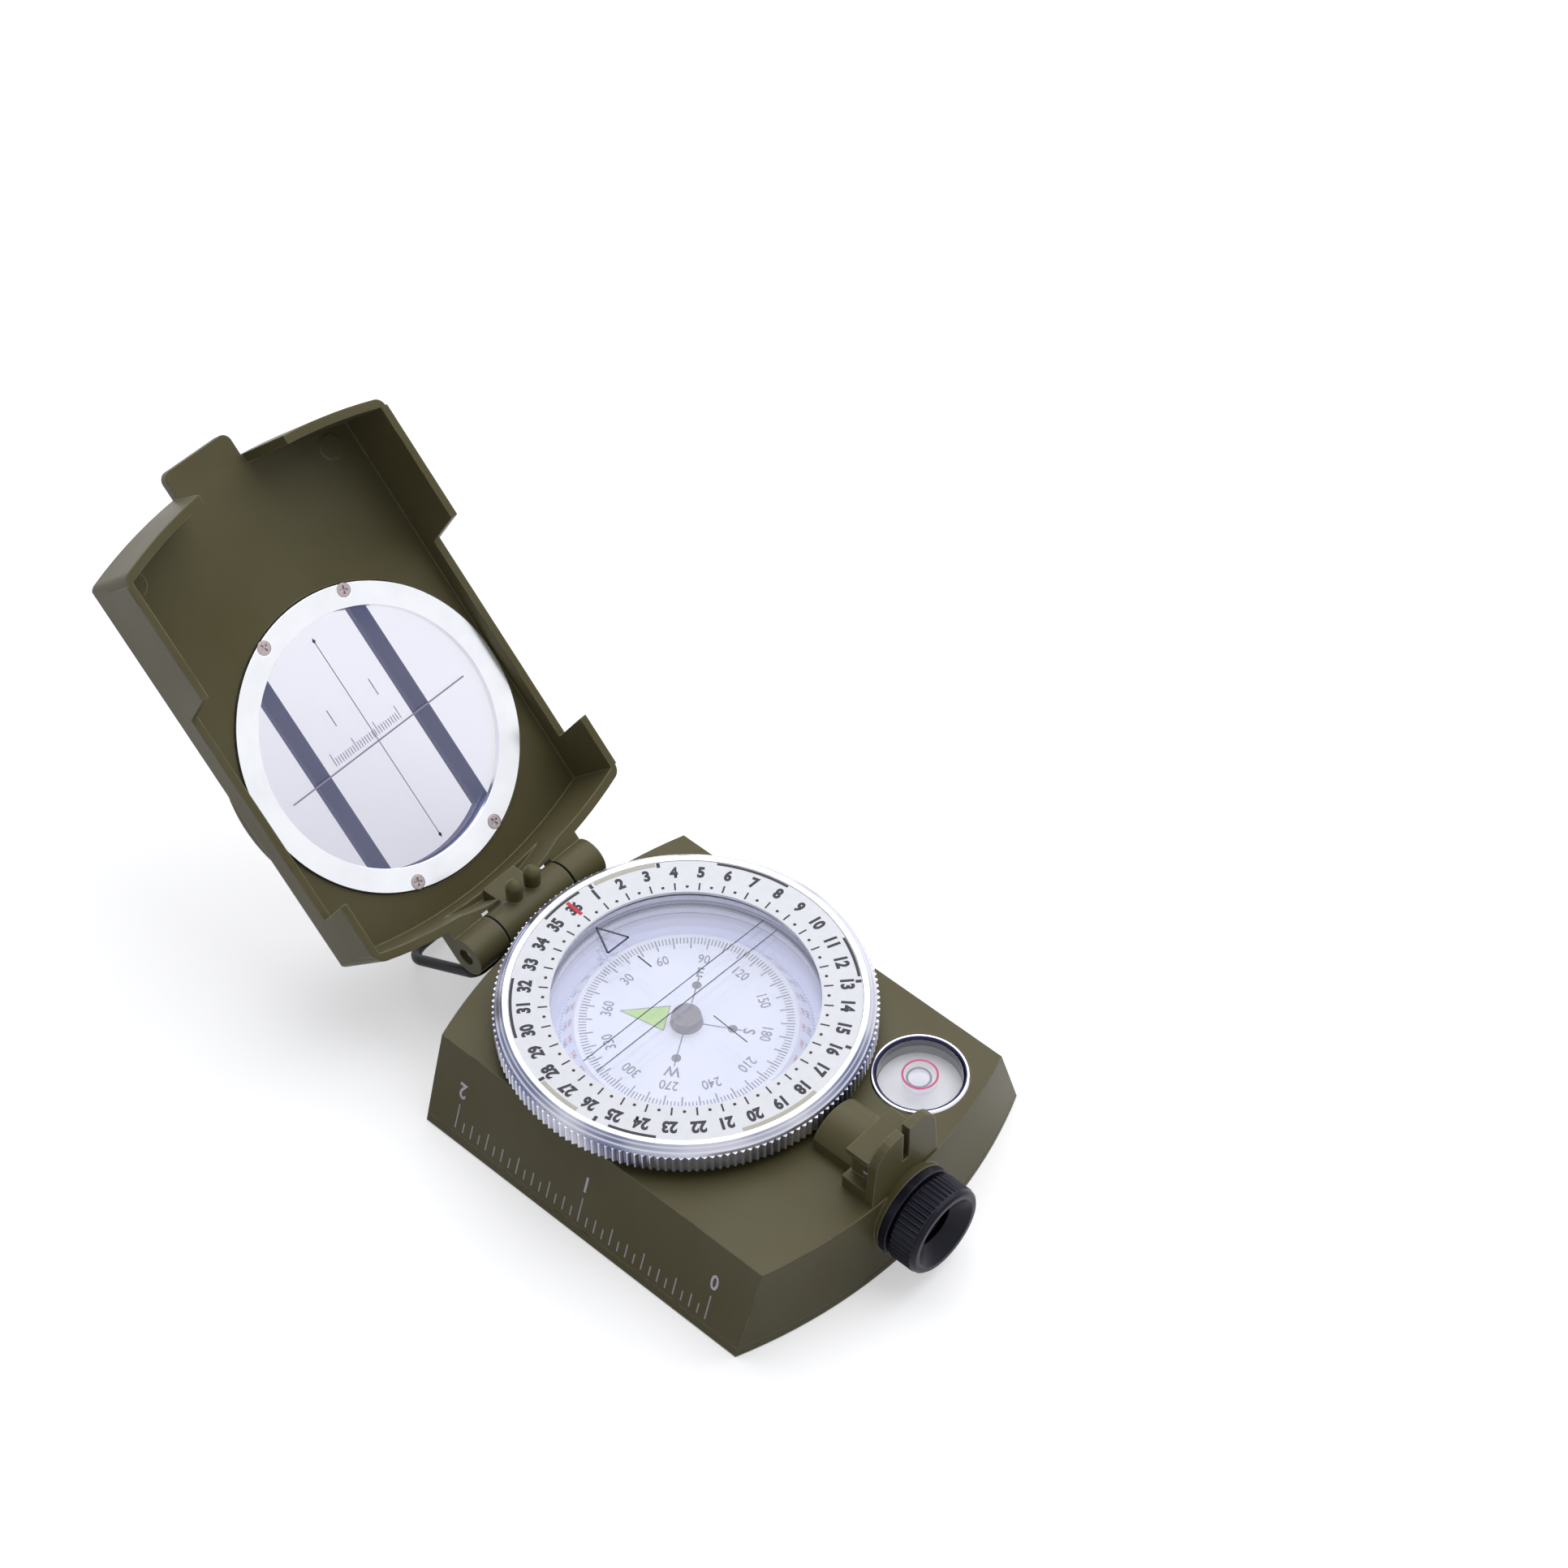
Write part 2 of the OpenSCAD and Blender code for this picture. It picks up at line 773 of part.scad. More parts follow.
module lid_shell() {
    floor_top = lid_depth + lid_floor_t;
    color(olive) on_lid()
    difference() {
        union() {
            difference() {
                lid_block(0, 0, lid_rim, floor_top);
                lid_block(lid_side_wall, lid_end_wall, lid_rim - 1, lid_depth);
                side_gap(-1);
                side_gap(1);
                tip_gap();
            }
            // Thumb tab over the eyepiece
            difference() {
                block([-tab_half, tab_end, lid_depth], [tab_half, -lid_len + 4, floor_top]);
                for (s = [-1, 1])
                    translate([s * tab_half, tab_end, 0])
                        difference() {
                            cube([3, 3, big], center = true);
                            translate([-s * 1.5, 1.5, 0]) cylinder(r = 1.5, h = big, center = true);
                        }
            }
            // Low round pads on the floor beside the tip's corners
            for (side = [-1, 1])
                translate([side * lid_boss[0], lid_boss[1], lid_depth - 0.15]) cylinder(r = 2, h = 1);
            at_window() {
                translate([0, 0, lid_depth]) cylinder(r = boss_r, h = boss_top - bar_t - lid_depth);
                ring(boss_r, guard_r, boss_top - bar_t - eps, bar_t + eps);
                window_guard();
            }
            lid_knuckle();
            mirror([1, 0, 0]) lid_knuckle();
        }
        at_window() {
            translate([0, 0, lid_depth - eps]) cylinder(r = ring_out + 0.25, h = ring_t - ring_proud + eps);
            translate([0, 0, lid_depth - eps]) cylinder(r = glass_r + 0.1, h = seat_z - lid_depth + eps);
            translate([0, 0, seat_z - eps])
                cylinder(r1 = seat_r, r2 = guard_r, h = boss_top - bar_t - seat_z + eps);
        }
        for (side = [-1, 1]) {
            corner_waste(side, true);
            corner_waste(side, false);
        }
        // Room for the bezel, and for the beads as the lid swings past them
        at_window() translate([0, 0, -1]) cylinder(r = bezel_r + 0.35, h = bezel_room + 1);
        bar_x(bead_sweep, -bead_x - bead_r - 0.3, bead_x + bead_r + 0.3);
        bar_x(pin_r, -big / 2, big / 2);
        at_ring_screws() cylinder(r = 0.6 - thread_bite, h = 3.1);
    }
}

module window_seal() {
    color(black) on_lid() at_window()
        ring(glass_r, seat_r + 0.1, seat_z - 0.3, 0.3);
}

module window_glass() {
    color(clear) on_lid() at_window()
        translate([0, 0, lid_depth + ring_t - ring_proud]) cylinder(r = glass_r, h = window_glass_t);
}

module window_ring() {
    color(silver) on_lid()
    difference() {
        at_window() ring(ring_out, window_r, lid_depth - ring_proud, ring_t);
        at_ring_screws() {
            translate([0, 0, -eps]) cylinder(r1 = 1.2, r2 = 0.65, h = 0.55 + eps);
            cylinder(r = 0.65, h = 4);
        }
    }
}

module ring_screws() {
    color(steel) on_lid() at_ring_screws() rotate([180, 0, 0]) flat_screw(1.15, 0.6, 3);
}

// Hinge and loop

// A rolled spring pin, slit along its length
module hinge_pin() {
    color(steel) on_lid()
    difference() {
        bar_x(pin_r, -outer_end + 1, outer_end - 1);
        bar_x(pin_r - 0.45, -outer_end, outer_end);
        block([-outer_end, -2, -0.25], [outer_end, 0, 0.25]);
    }
}

module hinge_washers() {
    color(black) translate([0, hinge_y, hinge_z])
        for (s = [0, 1])
            mirror([s, 0, 0])
                difference() {
                    bar_x(knuckle_r - 0.3, middle_half + washer_gap, middle_half + washer_gap + washer_t);
                    bar_x(pin_r + 0.04, middle_half - 1, middle_half + 2);
                }
}

// A quarter bend of the loop's wire, turned by angle in the loop's plane
module wire_bend(radius, angle) {
    rotate([0, 0, angle]) rotate_extrude(angle = 90) translate([radius, 0]) circle(r = wire_r, $fn = 32);
}

module lanyard_loop() {
    reach = loop_len - loop_corner;
    leg = 1.6;
    color(black) at_loop()
        for (s = [0, 1])
            mirror([s, 0, 0]) {
                bar_x(wire_r, 3, loop_half - leg);
                translate([loop_half - leg, leg, 0]) wire_bend(leg, -90);
                translate([loop_half, leg, 0]) rotate([-90, 0, 0]) cylinder(r = wire_r, h = reach - leg);
                translate([loop_half - loop_corner, reach, 0]) wire_bend(loop_corner, 0);
                translate([0, loop_len, 0]) bar_x(wire_r, 0, loop_half - loop_corner);
            }
}

base_shell();
bottom_cover();
cover_screws();
tripod_bush();
sight_bracket();
bracket_screws();
capsule_cup();
capsule_seal();
capsule_glass();
capsule_window();
pivot_post();
dial_card();
card_magnet();
card_hub();
jewel_bearing();
bezel_ring();
azimuth_ring();
bezel_glass();
bezel_snap_ring();
bezel_friction_ring();
level_housing();
level_disc();
level_glass();
eyepiece_tube();
focus_ring();
focus_pin();
lens_cell();
eye_lens();
lens_retainer();
lid_shell();
window_seal();
window_glass();
window_ring();
ring_screws();
hinge_pin();
hinge_washers();
lanyard_loop();
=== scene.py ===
"""Looks of the lensatic compass: materials, printing, markings, lights and camera."""

import json
import math

import bmesh
import bpy
from mathutils import Matrix, Vector


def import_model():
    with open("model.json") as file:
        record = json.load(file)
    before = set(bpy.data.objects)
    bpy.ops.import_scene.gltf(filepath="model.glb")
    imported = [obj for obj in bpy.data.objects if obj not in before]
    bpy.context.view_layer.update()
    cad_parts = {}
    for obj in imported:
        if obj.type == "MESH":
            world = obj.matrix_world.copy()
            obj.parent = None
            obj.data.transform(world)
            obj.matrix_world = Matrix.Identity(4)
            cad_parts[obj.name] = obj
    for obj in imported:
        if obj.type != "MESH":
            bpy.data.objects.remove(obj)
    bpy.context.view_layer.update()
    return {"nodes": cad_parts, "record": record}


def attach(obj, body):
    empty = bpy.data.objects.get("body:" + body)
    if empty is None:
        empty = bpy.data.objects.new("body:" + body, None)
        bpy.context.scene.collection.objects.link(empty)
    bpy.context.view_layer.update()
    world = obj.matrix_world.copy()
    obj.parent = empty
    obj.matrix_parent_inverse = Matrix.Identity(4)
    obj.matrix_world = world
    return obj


MM = 0.001
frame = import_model()

# The dial on the CAD part, in millimetres: its centre, the card and its sloping flange, and the top
# faces of the azimuth ring and of the bezel's glass
DIAL_Y = 7.0
CARD_Z = 15.0
CARD_R = 16.5
FLANGE_R = 19.4
FLANGE_Z = 11.6
AZIMUTH_Z = 21.0
GLASS_Z = 20.5

# The level: its middle at the underside of its glass, the glass's thickness and the radius of the bore
LEVEL = Vector((15.6, -25.3, 14.6))
LEVEL_GLASS_T = 0.7
LEVEL_BORE = 6.45

# The lid: its hinge axis, how far it stands open in degrees, and on the closed lid the window's middle
# and the underside of its glass, from the hinge axis
HINGE = Vector((0.0, 39.7, 15.4))
LID_OPEN = 134.3
WINDOW_Y = -32.7
WINDOW_GLASS_Z = 12.0

# The base: its half width at the foot and at the top, and its height
FOOT_HALF = 31.4
TOP_HALF = 26.2
BASE_H = 15.3

# How far printing stands off the surface it is printed on, in millimetres
INK = 0.02

# Turns seen in the photograph, in degrees clockwise from the hinge
BEZEL_TURN = 2.5
CARD_TURN = -30.5


# Places

def shift(x=0.0, y=0.0, z=0.0):
    return Matrix.Translation((x, y, z))


def turn(degrees, axis="Z"):
    return Matrix.Rotation(math.radians(degrees), 4, axis)


def stretch(x, y, z=1.0):
    return Matrix.Diagonal((x, y, z, 1.0))


def on_dial(clockwise, radius, z):
    """A place on the dial with +Y pointing outwards, so many degrees clockwise from the hinge."""
    return shift(0, DIAL_Y, z) @ turn(-clockwise) @ shift(0, radius)


def on_lid(x=0.0, y=0.0, z=0.0):
    """A place given on the closed lid, carried to where the open lid holds it."""
    return Matrix.Translation(HINGE) @ turn(-LID_OPEN, "X") @ shift(x, y, z)


# Shader graphs

class Value:
    """A shader socket that Python sums can use."""

    def __init__(self, graph, socket):
        self.graph = graph
        self.socket = socket

    def __add__(self, other):
        return self.graph.sum_of("ADD", self, other)

    def __radd__(self, other):
        return self.graph.sum_of("ADD", other, self)

    def __sub__(self, other):
        return self.graph.sum_of("SUBTRACT", self, other)

    def __rsub__(self, other):
        return self.graph.sum_of("SUBTRACT", other, self)

    def __mul__(self, other):
        return self.graph.sum_of("MULTIPLY", self, other)

    def __rmul__(self, other):
        return self.graph.sum_of("MULTIPLY", other, self)

    def __lt__(self, other):
        return self.graph.sum_of("LESS_THAN", self, other)

    def __pow__(self, other):
        return self.graph.sum_of("POWER", self, other)


# Cosine between the plain and the rounded normal, on a flat face and along a sharp edge
FLAT = 0.995
SHARP = 0.8


class Graph:
    """The node tree of a material or a world."""

    def __init__(self, owner, output="ShaderNodeOutputMaterial"):
        owner.use_nodes = True
        self.owner = owner
        self.tree = owner.node_tree
        self.tree.nodes.clear()
        self.output = self.tree.nodes.new(output)

    def node(self, kind, settings=None, values=None, out=0):
        """Adds a node with its settings and its inputs, and returns one of its outputs."""
        node = self.tree.nodes.new(kind)
        for key, value in (settings or {}).items():
            setattr(node, key, value)
        for key, value in (values or {}).items():
            if isinstance(value, Value):
                self.tree.links.new(value.socket, node.inputs[key])
            else:
                node.inputs[key].default_value = value
        return Value(self, node.outputs[out])

    def sum_of(self, operation, first, second):
        return self.node("ShaderNodeMath", {"operation": operation}, {0: first, 1: second})

    def vector_sum(self, operation, first, second=(0, 0, 0), out="Vector"):
        return self.node("ShaderNodeVectorMath", {"operation": operation}, {0: first, 1: second}, out)

    def place(self):
        return self.node("ShaderNodeTexCoord", out="Object")

    def height(self):
        return self.node("ShaderNodeSeparateXYZ", {}, {"Vector": self.place()}, out="Z")

    def distance(self, x, y):
        """How far a place is from an upright line, in metres."""
        away = self.vector_sum("SUBTRACT", self.place(), (x, y, 0))
        level = self.vector_sum("MULTIPLY", away, (1, 1, 0))
        return self.vector_sum("LENGTH", level, out="Value")

    def rays(self, *kinds):
        """1 for rays of these kinds, and 0 for all others."""
        found = 0.0
        for kind in kinds:
            found = self.sum_of("MAXIMUM", found, self.node("ShaderNodeLightPath", out=kind))
        return found

    def noise(self, scale, detail=4.0, rough=0.55):
        """Noise with so many cells to the metre."""
        values = {"Vector": self.place(), "Scale": scale, "Detail": detail, "Roughness": rough}
        return self.node("ShaderNodeTexNoise", {}, values)

    def ramp(self, value, low, high):
        """Maps low..high to 0..1 and holds it there."""
        values = {"Value": value, "From Min": low, "From Max": high}
        return self.node("ShaderNodeMapRange", {"clamp": True}, values)

    def mix(self, factor, first, second):
        """A colour between two colours."""
        return self.node("ShaderNodeMix", {"data_type": "RGBA"}, {0: factor, 6: first, 7: second}, out=2)

    def rounded(self, radius, samples=8):
        """The normal as if sharp edges were rounded."""
        return self.node("ShaderNodeBevel", {"samples": samples}, {"Radius": radius})

    def edge(self, radius):
        """0 on flat faces and 1 along sharp edges."""
        plain = self.node("ShaderNodeNewGeometry", out="Normal")
        rounded = self.rounded(radius, samples=6)
        agreement = self.vector_sum("DOT_PRODUCT", rounded, plain, out="Value")
        return self.ramp(agreement, FLAT, SHARP)

    def bump(self, height, distance, strength, normal=None):
        values = {"Height": height, "Distance": distance, "Strength": strength}
        if normal:
            values["Normal"] = normal
        return self.node("ShaderNodeBump", {}, values)

    def surface(self, shader):
        self.tree.links.new(shader.socket, self.output.inputs["Surface"])
        return self.owner


def material_graph(name):
    return Graph(bpy.data.materials.new(name))


def rgba(red, green, blue):
    """A colour given as it looks on screen, from 0 to 255."""
    def linear(c):
        c /= 255
        return c / 12.92 if c <= 0.04045 else ((c + 0.055) / 1.055) ** 2.4
    return (linear(red), linear(green), linear(blue), 1.0)


# Finishes: their grain in noise cells to the metre, and their edges, scratches and lines in metres; the
# lines are painted shade and painted reflection
PAINT_DRIFT = 45
PAINT_SPECK = 2600
PAINT_WEAR_AND_HIGHLIGHT = 260
PAINT_PEEL = 1500
PAINT_GLOSS = 180
PAINT_EDGE = 0.35 * MM
METAL_HAZE = 120
METAL_EDGE = 0.12 * MM
METAL_SCRATCH = 0.01 * MM
REFLECTION_RING_PATCH = 60
REFLECTION_RING_WIDTH = 0.3 * MM
PRINT_MOTTLE = 700
PRINT_GLOSS = 400
PRINT_GRAIN = 1800
WALL_LINE = 0.14 * MM
GLASS_SMEAR = 60

# Glass: how rough its mirror image is, and the share of the light that it mirrors head on
GLASS_ROUGH = 0.02
HEAD_ON = 0.035

WHITE = rgba(255, 255, 255)
# Colour of the painted shade in the level's bore
PAINTED_BORE_SHADE = rgba(44, 44, 66)
# Colour of the rings of painted dark reflection on the bezel
REFLECTION_RING_SHADE = rgba(116, 122, 152)
# Colour of the lines of painted shade round the cup's wall
WALL_SHADE = rgba(96, 98, 128)
# Colour of the painted glow
PAINTED_GLOW_COLOUR = rgba(190, 196, 236)


def paint(name, colour, light, rough, grain, edge_wear_and_highlight_colour, specular=0.2, coat=0.1):
    """Sprayed paint with a fine orange peel, a slow drift of tone, and edges that are slightly polished and
    painted lighter, partly as wear and partly as a painted highlight.

    grain is the depth of the orange peel in metres.
    """
    g = material_graph(name)
    drift = g.ramp(g.noise(PAINT_DRIFT, 3), 0.35, 0.65)
    speck = g.ramp(g.noise(PAINT_SPECK, 2), 0.42, 0.62)
    tone = g.mix(drift * 0.8, colour, light)
    tone = g.mix(speck * 0.25, tone, light)
    # painted highlight: sharp edges are mixed towards a lighter colour in patches, partly wear and partly a
    # painted edge highlight
    edge_wear_and_highlight = g.edge(PAINT_EDGE) * g.ramp(g.noise(PAINT_WEAR_AND_HIGHLIGHT, 3), 0.25, 0.5)
    tone = g.mix(edge_wear_and_highlight * 0.7, tone, edge_wear_and_highlight_colour)
    peel = g.bump(g.noise(PAINT_PEEL, 3), grain, 0.6, g.rounded(PAINT_EDGE))
    return g.surface(g.node("ShaderNodeBsdfPrincipled", {}, {
        "Base Color": tone,
        "Roughness": rough + 0.1 * g.noise(PAINT_GLOSS, 4) - 0.08 * edge_wear_and_highlight,
        "Normal": peel,
        "Specular IOR Level": specular,
        "Coat Weight": coat * drift,
        "Coat Roughness": 0.2,
    }))


def draw_lines(g, tone, value, places, width, colour, strength):
    """Draws a fine line wherever a value passes one of the places."""
    for place in places:
        off_line = g.sum_of("ABSOLUTE", value - place, 0.0)
        line = g.ramp(off_line, width, 0.4 * width)
        tone = g.mix(line * strength, tone, colour)
    return tone


def metal(name, colour, rough, scratches, dark_bore=None, lines=None, metallic=1.0):
    """Polished or turned metal with fine scratches and a little haze.

    dark_bore is the x, y and radius in metres of an upright bore painted dark as painted shade, and lines
    is the x, y and radii of rings of painted dark reflection.
    """
    g = material_graph(name)
    haze = g.ramp(g.noise(METAL_HAZE, 4), 0.35, 0.7)
    fine = g.noise(scratches, 5, 0.7)
    dull = tuple(c * 0.8 for c in colour[:3]) + (1.0,)
    tone = g.mix(haze * 0.5, colour, dull)
    if dark_bore:
        x, y, radius = dark_bore
        # painted shade: the bore and the inner part of the rim round it are painted dark
        tone = g.mix(g.distance(x, y) < radius, tone, PAINTED_BORE_SHADE)
    if lines:
        # painted reflection: dark rings drawn on the metal in patches, standing in for dark things mirrored
        # in it
        x, y, radii = lines
        patches = g.ramp(g.noise(REFLECTION_RING_PATCH, 2), 0.4, 0.6)
        tone = draw_lines(g, tone, g.distance(x, y), radii, REFLECTION_RING_WIDTH, REFLECTION_RING_SHADE, 0.3 + 0.7 * patches)
    return g.surface(g.node("ShaderNodeBsdfPrincipled", {}, {
        "Base Color": tone,
        "Metallic": metallic,
        "Roughness": rough + 0.14 * fine * haze,
        "Normal": g.bump(fine, METAL_SCRATCH, 0.35, g.rounded(METAL_EDGE)),
    }))


def printed(name, colour, dark, rough=0.5, grain=0.01 * MM, glow=0.0, heights=()):
    """Enamel, ink, rubber or felt: an even colour with a faint mottle.

    grain is how deep its texture is in metres. glow is a painted glow that makes the part give off a little
    light of its own, to look brighter in its well under the glass, and heights are those of the fine lines
    of painted shade round it.
    """
    g = material_graph(name)
    mottle = g.ramp(g.noise(PRINT_MOTTLE, 4), 0.3, 0.75)
    tone = g.mix(mottle * 0.6, colour, dark)
    if heights:
        # painted shade: dark lines round the wall at the given heights
        tone = draw_lines(g, tone, g.height(), heights, WALL_LINE, WALL_SHADE, 0.8)
    return g.surface(g.node("ShaderNodeBsdfPrincipled", {}, {
        "Base Color": tone,
        "Roughness": rough + 0.12 * g.noise(PRINT_GLOSS, 3),
        "Normal": g.bump(g.noise(PRINT_GRAIN, 2), grain, 0.4),
        # painted glow: light added on top of the part's own colour
        "Emission Color": PAINTED_GLOW_COLOUR,
        "Emission Strength": glow,
    }))


def clear(name, tint, gloss=1.0, coating=0.0, mirror_tint=WHITE):
    """Thin glass: it lets the light through, tinted, and mirrors more at a low angle.

    A coating mirrors a fixed share of the light from every side.
    """
    g = material_graph(name)
    through = g.node("ShaderNodeBsdfTransparent", {}, {"Color": tint})
    smear = g.ramp(g.noise(GLASS_SMEAR, 4), 0.4, 0.7)
    mirror = g.node("ShaderNodeBsdfGlossy", {}, {"Color": mirror_tint, "Roughness": GLASS_ROUGH})
    facing = g.node("ShaderNodeLayerWeight", {}, {"Blend": 0.5}, out="Facing")
    graze = HEAD_ON + (1 - HEAD_ON) * facing ** 5
    amount = coating + graze * gloss * (0.85 + 0.15 * smear)
    return g.surface(g.node("ShaderNodeMixShader", {}, {0: amount, 1: through, 2: mirror}))


# Materials of the record's slots, under the slots' names
materials = {
    # Each paint's lighter edge colour below is partly wear and partly a painted edge highlight
    "olive_paint": paint("olive_paint", rgba(86, 80, 49), rgba(93, 88, 61), rough=0.42,
                         grain=0.012 * MM, edge_wear_and_highlight_colour=rgba(152, 147, 128)),
    "silver_metal": metal("silver_metal", rgba(236, 235, 244), rough=0.16, scratches=900),
    "steel": metal("steel", rgba(190, 190, 194), rough=0.28, scratches=1500),
    "brass": metal("brass", rgba(214, 184, 120), rough=0.3, scratches=1200),
    "white_enamel": printed("white_enamel", rgba(243, 244, 249), rgba(232, 234, 243)),
    # The card's white has a painted glow
    "dial_white": printed("dial_white", rgba(226, 232, 254), rgba(218, 224, 252), glow=0.1),
    "magnet_steel": metal("magnet_steel", rgba(110, 110, 114), rough=0.4, scratches=1500),
    "hub_metal": printed("hub_metal", rgba(84, 84, 118), rgba(64, 64, 96), rough=0.35),
    "jewel": printed("jewel", rgba(170, 40, 60), rgba(120, 20, 40), rough=0.1),
    "glass": clear("glass", WHITE, gloss=0.6, coating=0.01),
    "black_metal": paint("black_metal", rgba(16, 16, 26), rgba(24, 24, 38), rough=0.3,
                         grain=0.004 * MM, edge_wear_and_highlight_colour=rgba(84, 84, 108), specular=0.16, coat=0.08),
    "rubber": printed("rubber", rgba(24, 24, 26), rgba(34, 34, 36), rough=0.7),
    "pale_seal": printed("pale_seal", rgba(206, 207, 226), rgba(190, 191, 212), rough=0.6),
    "felt": printed("felt", rgba(22, 22, 22), rgba(36, 36, 34), rough=0.9, grain=0.05 * MM),
    "loop_black": paint("loop_black", rgba(30, 30, 36), rgba(40, 40, 48), rough=0.35,
                        grain=0.004 * MM, edge_wear_and_highlight_colour=rgba(90, 90, 100)),
}

# Inks and paints of the markings
black_ink = printed("black_ink", rgba(26, 26, 38), rgba(36, 36, 50))
card_ink = printed("card_ink", rgba(84, 86, 122), rgba(104, 106, 142))
red_ink = printed("red_ink", rgba(214, 40, 60), rgba(196, 50, 70))
green_ink = printed("green_ink", rgba(176, 224, 122), rgba(160, 210, 112), rough=0.55)
ruler_paint = printed("ruler_paint", rgba(190, 186, 192), rgba(160, 156, 160), rough=0.6)
number_paint = printed("number_paint", rgba(222, 218, 226), rgba(196, 192, 200), rough=0.6)
glass_ink = printed("glass_ink", rgba(40, 40, 62), rgba(54, 54, 78), rough=0.45)
hairline_ink = printed("hairline_ink", rgba(150, 148, 178), rgba(164, 162, 190))
faint_ink = printed("faint_ink", rgba(150, 146, 180), rgba(164, 160, 192))
pale_rim_tone = printed("pale_rim_tone", rgba(196, 193, 178), rgba(184, 180, 164))
pink_ink = printed("pink_ink", rgba(214, 84, 130), rgba(204, 92, 136))

# The bubble, and the dark ring of painted shade round its edge
bubble_edge_shade = printed("bubble_edge_shade", rgba(98, 98, 116), rgba(116, 116, 134), rough=0.4)
bubble_clear = clear("bubble_clear", rgba(248, 248, 252), gloss=1.4)

# Radii of the rings of painted dark reflection on the bezel, heights of the lines of painted shade round
# the cup's wall, and how far past its bore the level's rim is painted dark as painted shade, in metres
BEZEL_REFLECTION_RINGS = (27.2 * MM, 27.75 * MM, 28.35 * MM)
CUP_LINES = (17.4 * MM, 16.8 * MM, 15.4 * MM)
SHADE_MARGIN = 0.5 * MM

# These nodes look a little different from the rest of their slot
own_looks = {
    "window_glass": clear("window_glass", rgba(246, 245, 244), coating=0.1,
                          mirror_tint=rgba(176, 184, 240)),
    "window_ring": metal("ring_metal", rgba(250, 250, 253), rough=0.2, scratches=900),
    "ring_screws": metal("screw_metal", rgba(184, 170, 170), rough=0.3, scratches=1500),
    "bezel_ring": metal("bezel_metal", rgba(236, 235, 244), rough=0.2, scratches=900, metallic=0.75,
                        # with rings of painted dark reflection
                        lines=(0, DIAL_Y * MM, BEZEL_REFLECTION_RINGS)),
    # The cup's enamel has a painted glow
    "capsule_cup": printed("cup_enamel", rgba(244, 244, 247), rgba(233, 234, 240), glow=0.16,
                           # The cup's wall carries lines of painted shade at these heights
                           heights=CUP_LINES),
    # The level's bore and the inner edge of its rim are painted dark as painted shade
    "level_housing": metal("level_metal", rgba(236, 235, 244), rough=0.16, scratches=900,
                           dark_bore=(LEVEL.x * MM, LEVEL.y * MM, LEVEL_BORE * MM + SHADE_MARGIN)),
}

for entry in frame["record"]["subparts"]:
    node = frame["nodes"][entry["node"]]
    node.data.materials.clear()
    node.data.materials.append(own_looks.get(entry["node"], materials[entry["material_slot"]]))


# Marks

# Points along each curve of a letter, and sides of a dot
LETTER_STEPS = 3
DOT_SIDES = 20


class Marks:
    """Flat marks of one colour that ride one body: printing, the dark and pale arcs on the bezel's rim, and
    the ring of painted shade round the bubble.
    """

    def __init__(self, name, body, material, slot):
        self.name = name
        self.body = body
        self.material = material
        self.slot = slot
        self.mesh = bmesh.new()

    def words(self, text, place, height, narrow, bold):
        """Centred letters of a given height; bold is how far their strokes grow, in parts of the height."""
        curve = bpy.data.curves.new("letters", "FONT")
        curve.body = text
        curve.offset = bold
        curve.align_x = "CENTER"
        curve.resolution_u = LETTER_STEPS
        holder = bpy.data.objects.new("letters", curve)
        bpy.context.scene.collection.objects.link(holder)
        bpy.context.view_layer.update()
        evaluated = holder.evaluated_get(bpy.context.evaluated_depsgraph_get())
        letters = bpy.data.meshes.new_from_object(evaluated)
        xs = [v.co.x for v in letters.vertices]
        ys = [v.co.y for v in letters.vertices]
        scale = height / (max(ys) - min(ys))
        middle = shift(-(max(xs) + min(xs)) / 2, -(max(ys) + min(ys)) / 2)
        letters.transform(place @ stretch(scale * narrow, scale) @ middle)
        self.mesh.from_mesh(letters)
        bpy.data.objects.remove(holder)
        bpy.data.curves.remove(curve)
        bpy.data.meshes.remove(letters)

    def bar(self, place, width, length):
        bmesh.ops.create_grid(self.mesh, x_segments=1, y_segments=1, size=0.5,
                              matrix=place @ stretch(width, length))

    def line(self, start, end, width, place):
        """A straight line between two points of the place's own plane."""
        start, end = Vector(start), Vector(end)
        along = end - start
        angle = math.degrees(math.atan2(along.y, along.x))
        middle = (start + end) / 2
        self.bar(place @ shift(middle.x, middle.y) @ turn(angle - 90), width, along.length)

    def dot(self, place, radius):
        bmesh.ops.create_circle(self.mesh, cap_ends=True, segments=DOT_SIDES, radius=radius, matrix=place)

    def arc(self, place, inner, outer, first, last, steps=24):
        """A flat band from one clockwise angle to another, round the place's origin."""
        begin = place @ turn(-first)
        ends = [self.mesh.verts.new(begin @ Vector((0, r, 0))) for r in (inner, outer)]
        edge = self.mesh.edges.new(ends)
        axis = (place.to_3x3() @ Vector((0, 0, 1))).normalized()
        bmesh.ops.spin(self.mesh, geom=[*ends, edge], cent=place.translation, axis=axis,
                       angle=math.radians(first - last), steps=steps, use_merge=abs(last - first) >= 360)

    def outline(self, points, width, place):
        """A closed line through points."""
        for start, end in zip(points, points[1:] + points[:1]):
            self.line(start, end, width, place)

    def fill(self, points, place):
        self.mesh.faces.new([self.mesh.verts.new(place @ Vector((*p, 0))) for p in points])

    def done(self):
        bmesh.ops.recalc_face_normals(self.mesh, faces=self.mesh.faces)
        piece(self.name, self.mesh, self.body, self.material)


